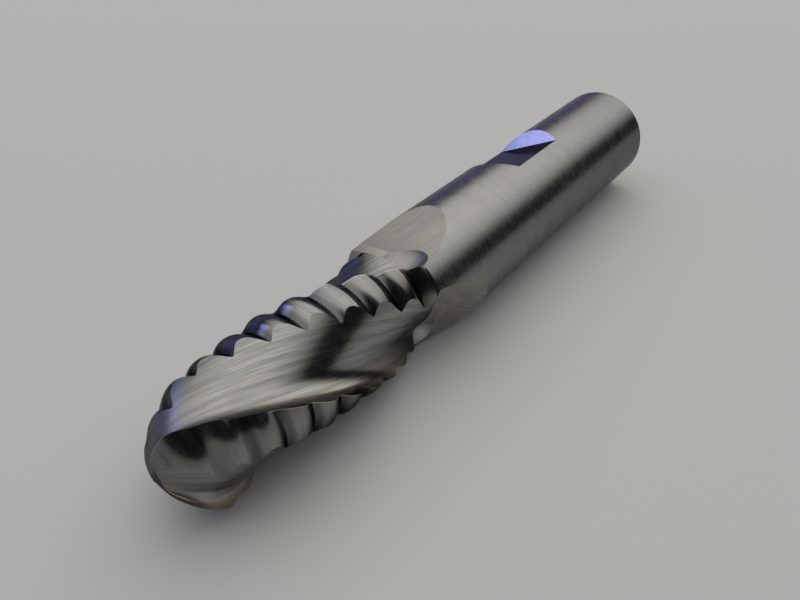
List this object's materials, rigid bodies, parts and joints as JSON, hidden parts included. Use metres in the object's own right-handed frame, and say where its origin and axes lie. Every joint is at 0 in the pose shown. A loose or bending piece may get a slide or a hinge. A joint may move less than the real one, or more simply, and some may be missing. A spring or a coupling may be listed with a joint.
{
  "type": "end mill",
  "caption": "Solid carbide roughing end mill with a ball nose, waved helical teeth and a plain shank with one clamping flat.",
  "frame": {"origin": "centre of the shank's end face", "axes": "+Z along the tool's axis, from the shank end towards the tip; the clamping flat faces -Y"},
  "size_m": [0.0126, 0.0126, 0.0762],
  "materials": {
    "carbide": "ground"
  },
  "bodies": {
    "root": {"endmill": "carbide"}
  },
  "joints": []
}
